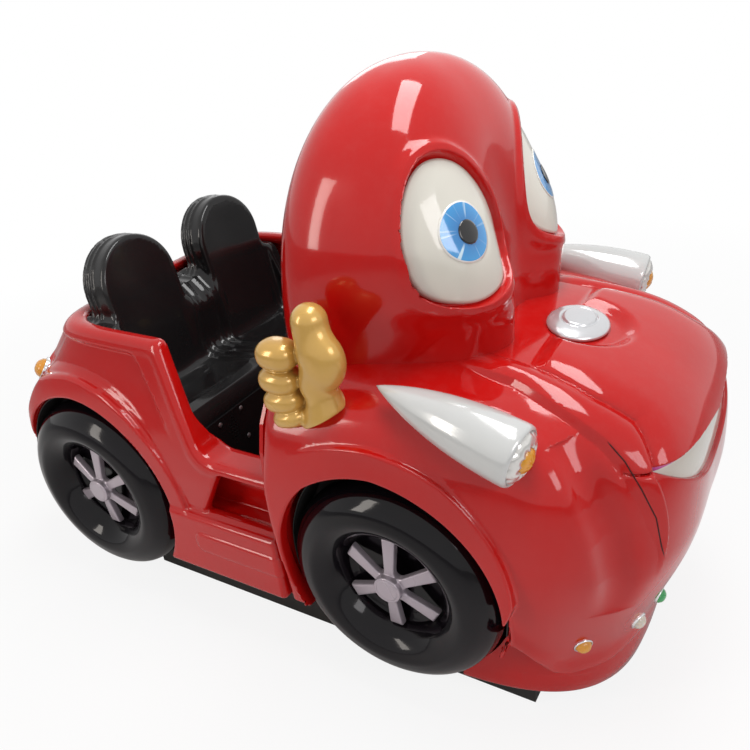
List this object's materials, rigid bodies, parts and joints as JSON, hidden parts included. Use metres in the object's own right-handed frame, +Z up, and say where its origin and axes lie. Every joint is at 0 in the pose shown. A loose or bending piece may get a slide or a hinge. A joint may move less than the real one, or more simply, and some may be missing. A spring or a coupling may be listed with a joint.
{
  "type": "kiddie ride machine",
  "caption": "Coin-operated rocking ride car for small children: fibreglass car body with a face, twin seats and side entry on a motor-driven base.",
  "frame": {"origin": "centre of the bounding box's footprint, on the floor under the levelling feet", "axes": "+X towards the nose of the car, +Y towards the car's left side, +Z up; the entry is on the -Y side"},
  "size_m": [1.6, 0.898, 1.226],
  "materials": {
    "red": "glossy pigmented gelcoat on glass fibre",
    "black": "glossy black moulding",
    "tyre_black": "hollow glossy black moulded wheel",
    "silver": "silver-lilac painted moulding",
    "pearl": "pearl white gelcoat",
    "gold": "gold pearl paint",
    "amber": "amber lens",
    "clear": "clear lens",
    "green": "green lens",
    "white": "warm white gloss",
    "steel": "zinc plated steel",
    "grey": "grey paint",
    "chrome": "bright chrome",
    "button": "yellow button"
  },
  "bodies": {
    "base": {"base_frame": "grey", "base_skirt": "black", "gear_motor": "grey", "gearbox": "grey", "bearing_block_right": "grey", "bearing_block_left": "grey", "control_box": "grey", "power_inlet": "black", "levelling_foot_1": "black", "levelling_foot_2": "black", "levelling_foot_3": "black", "levelling_foot_4": "black"},
    "car": {"axle_frame_front": "steel", "axle_frame_rear": "steel", "badge": "silver", "body_front": "red", "body_rear": "red", "cash_box": "steel", "chin_lamp_left_1": "amber", "chin_lamp_left_2": "clear", "chin_lamp_left_3": "green", "chin_lamp_right_1": "amber", "chin_lamp_right_2": "clear", "chin_lamp_right_3": "green", "coin_acceptor": "chrome", "dashboard": "red", "eye_left": "white", "eye_right": "white", "floor_pan": "red", "hand_left": "gold", "hand_right": "gold", "head_shell": "red", "headlamp_left": "amber", "headlamp_right": "amber", "headlight_pod_left": "pearl", "headlight_pod_right": "pearl", "mouth_insert": "white", "pivot_shaft": "steel", "rocker_frame": "steel", "seat": "black", "seat_panel": "black", "speaker": "black", "steering_column": "black", "step_sill": "red", "tail_lamp_left": "amber", "tail_lamp_right": "amber", "tyre_front_left": "tyre_black", "tyre_front_right": "tyre_black", "tyre_rear_left": "tyre_black", "tyre_rear_right": "tyre_black", "wheel_disc_front_left": "silver", "wheel_disc_front_right": "silver", "wheel_disc_rear_left": "silver", "wheel_disc_rear_right": "silver"},
    "crank": {"crank": "steel"},
    "steering": {"steering_wheel": "black"},
    "horn": {"horn_button": "button"},
    "start": {"start_button": "green"},
    "coin_return": {"coin_return_button": "button"},
    "cash_door": {"cash_door": "chrome"}
  },
  "joints": [
    {"name": "body_rock", "type": "hinge", "parent": "base", "child": "car", "pos_m": [0, 0, 0.11], "axis": [0, 1, 0], "range_deg": [-3, 3]},
    {"name": "crank_turn", "type": "hinge", "parent": "base", "child": "crank", "pos_m": [0.35, 0, 0.085], "axis": [0, 1, 0], "range_deg": [-90, 90]},
    {"name": "steering_turn", "type": "hinge", "parent": "car", "child": "steering", "pos_m": [-0.03026, 0.165, 0.56551], "axis": [-0.866, 0, 0.5], "range_deg": [-60, 60]},
    {"name": "horn_press", "type": "slide", "parent": "steering", "child": "horn", "axis": [0.866, 0, -0.5], "range_m": [0, 0.004], "stiffness_N_per_m": 600, "springref_m": -0.003},
    {"name": "start_press", "type": "slide", "parent": "car", "child": "start", "axis": [1, 0, 0], "range_m": [0, 0.005], "stiffness_N_per_m": 600, "springref_m": -0.003},
    {"name": "coin_return_press", "type": "slide", "parent": "car", "child": "coin_return", "axis": [1, 0, 0], "range_m": [0, 0.004], "stiffness_N_per_m": 600, "springref_m": -0.003},
    {"name": "cash_door_swing", "type": "hinge", "parent": "car", "child": "cash_door", "pos_m": [0.0257, -0.262, 0.33], "axis": [0, 0, 1], "range_deg": [0, 100]}
  ],
  "couplings": [
    {"joint": "crank_turn", "follows": "body_rock", "ratio": 30}
  ]
}
